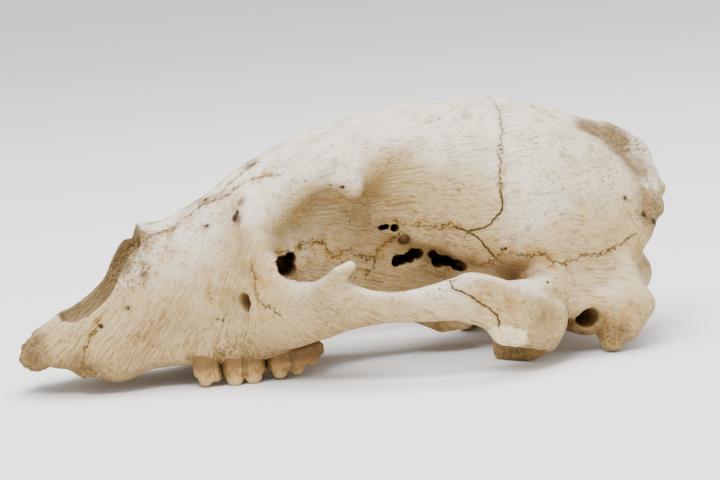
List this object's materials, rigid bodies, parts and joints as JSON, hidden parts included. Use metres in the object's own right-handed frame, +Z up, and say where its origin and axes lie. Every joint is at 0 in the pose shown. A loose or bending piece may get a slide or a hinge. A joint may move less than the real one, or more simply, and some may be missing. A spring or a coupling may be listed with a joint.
{
  "type": "black bear skull",
  "caption": "Cranium of an American black bear, life size: snout with open nasal aperture, forehead, braincase, cheek arches and upper cheek teeth, lying as it rests",
  "frame": {"origin": "middle of the bounding box at the level the skull rests on", "axes": "+X from the snout to the back of the skull, +Y to the animal's right, +Z up"},
  "size_m": [0.2692, 0.1588, 0.1021],
  "materials": {
    "bone": "dry weathered bone, creamy white to grey-beige with ochre stains, finely fibrous",
    "tooth": "worn honey-tan enamel, satin"
  },
  "bodies": {
    "root": {"snout": "bone", "braincase": "bone", "cheekbone_left": "bone", "cheekbone_right": "bone", "premolar_left": "tooth", "premolar_right": "tooth", "molar_1_left": "tooth", "molar_1_right": "tooth", "molar_2_left": "tooth", "molar_2_right": "tooth"}
  },
  "joints": []
}
